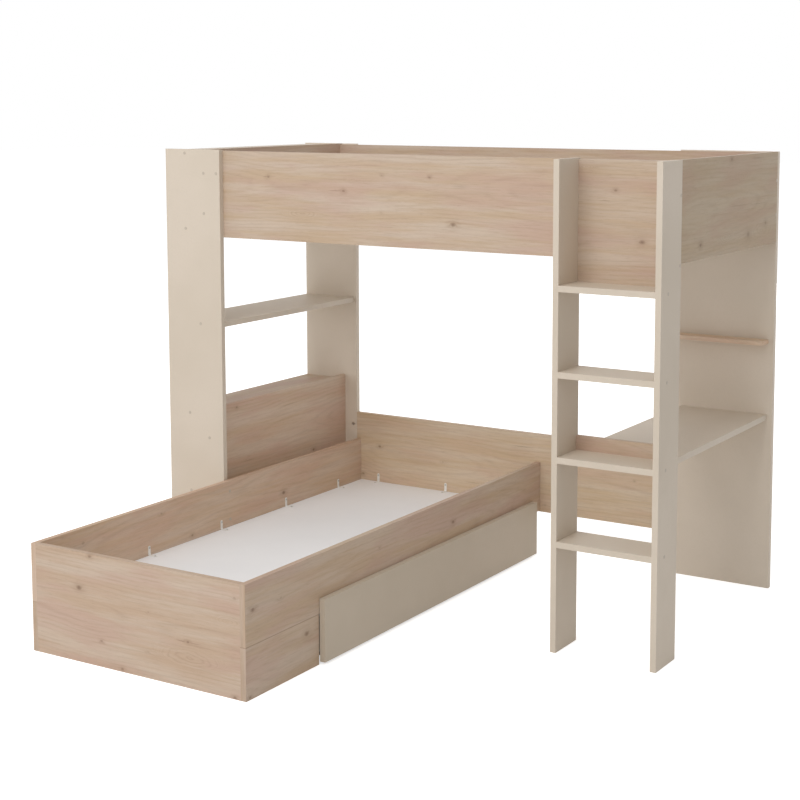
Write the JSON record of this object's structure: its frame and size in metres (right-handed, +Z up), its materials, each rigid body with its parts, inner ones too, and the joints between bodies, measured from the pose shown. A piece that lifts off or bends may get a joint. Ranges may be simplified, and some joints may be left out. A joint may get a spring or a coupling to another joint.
{
  "type": "bunk bed",
  "caption": "L-shaped bunk bed of flat boards with ladder tower, desk top, open shelf, bedside box and a roll-out castor drawer under the low bed.",
  "frame": {"origin": "centre of the overall footprint on the floor", "axes": "+Z up; +X along the high bed towards the ladder and desk end; -Y towards the low bed's footboard, so +Y faces the wall side"},
  "size_m": [2.2648, 2.0728, 1.746],
  "materials": {
    "beige_board": "matt melamine on particleboard",
    "wood_decor": "wood-look melamine on particleboard",
    "white_board": "white melamine on particleboard",
    "white_steel": "white powder coat",
    "zinc_steel": "zinc plated",
    "cap_plastic": "matt",
    "beech": "raw",
    "wheel_plastic": "matt"
  },
  "bodies": {
    "bed_frame": {"front_left_post": "beige_board", "rear_left_post": "beige_board", "rear_right_panel": "beige_board", "front_guard_panel": "wood_decor", "rear_guard_panel": "wood_decor", "left_end_panel": "wood_decor", "right_end_panel": "wood_decor", "upper_niche_top_board": "beige_board", "upper_niche_bottom_board": "beige_board", "open_shelf": "beige_board", "bedside_box_side": "wood_decor", "bedside_box_top": "wood_decor", "bedside_box_bottom": "wood_decor", "high_bed_base": "white_board", "high_bed_bearers": "beige_board", "high_bed_brackets": "white_steel", "ladder_left_upright": "beige_board", "ladder_right_upright": "beige_board", "ladder_rung_1": "beige_board", "ladder_rung_2": "beige_board", "ladder_rung_3": "beige_board", "ladder_rung_4": "beige_board", "ladder_back_panel": "wood_decor", "desk_stop_strip": "wood_decor", "desk_top": "beige_board", "pencil_ledge": "wood_decor", "low_bed_left_rail": "wood_decor", "low_bed_left_leg": "wood_decor", "low_bed_right_rail": "wood_decor", "low_bed_right_leg": "wood_decor", "footboard": "wood_decor", "long_head_panel": "wood_decor", "low_bed_base": "white_board", "low_bed_bearers": "beige_board", "low_bed_brackets": "white_steel", "bracket_screws": "zinc_steel", "assembly_screws": "zinc_steel", "screw_caps": "cap_plastic", "dowels": "beech", "cam_fittings": "zinc_steel"},
    "drawer": {"drawer_front": "beige_board", "drawer_left_side": "beige_board", "drawer_right_side": "beige_board", "drawer_back": "beige_board", "drawer_divider": "beige_board", "drawer_floors": "white_board", "drawer_screws": "zinc_steel", "drawer_cam_fittings": "zinc_steel", "castor_forks": "zinc_steel", "castor_axles": "zinc_steel"},
    "wheel_1": {"castor_wheel_1": "wheel_plastic"},
    "wheel_2": {"castor_wheel_2": "wheel_plastic"},
    "wheel_3": {"castor_wheel_3": "wheel_plastic"},
    "wheel_4": {"castor_wheel_4": "wheel_plastic"}
  },
  "joints": [
    {"name": "drawer_slide", "type": "slide", "parent": "bed_frame", "child": "drawer", "axis": [1, 0, 0], "range_m": [0, 0.6]},
    {"name": "castor_wheel_1_spin", "type": "hinge", "parent": "drawer", "child": "wheel_1", "pos_m": [-0.538, -0.546, 0.02], "axis": [0, 1, 0], "range_deg": [-1, 1720]},
    {"name": "castor_wheel_2_spin", "type": "hinge", "parent": "drawer", "child": "wheel_2", "pos_m": [0.042, -0.546, 0.02], "axis": [0, 1, 0], "range_deg": [-1, 1720]},
    {"name": "castor_wheel_3_spin", "type": "hinge", "parent": "drawer", "child": "wheel_3", "pos_m": [-0.538, 0.863, 0.02], "axis": [0, 1, 0], "range_deg": [-1, 1720]},
    {"name": "castor_wheel_4_spin", "type": "hinge", "parent": "drawer", "child": "wheel_4", "pos_m": [0.042, 0.863, 0.02], "axis": [0, 1, 0], "range_deg": [-1, 1720]}
  ],
  "couplings": [
    {"joint": "castor_wheel_1_spin", "follows": "drawer_slide", "rad_per_m": 50},
    {"joint": "castor_wheel_2_spin", "follows": "drawer_slide", "rad_per_m": 50},
    {"joint": "castor_wheel_3_spin", "follows": "drawer_slide", "rad_per_m": 50},
    {"joint": "castor_wheel_4_spin", "follows": "drawer_slide", "rad_per_m": 50}
  ]
}
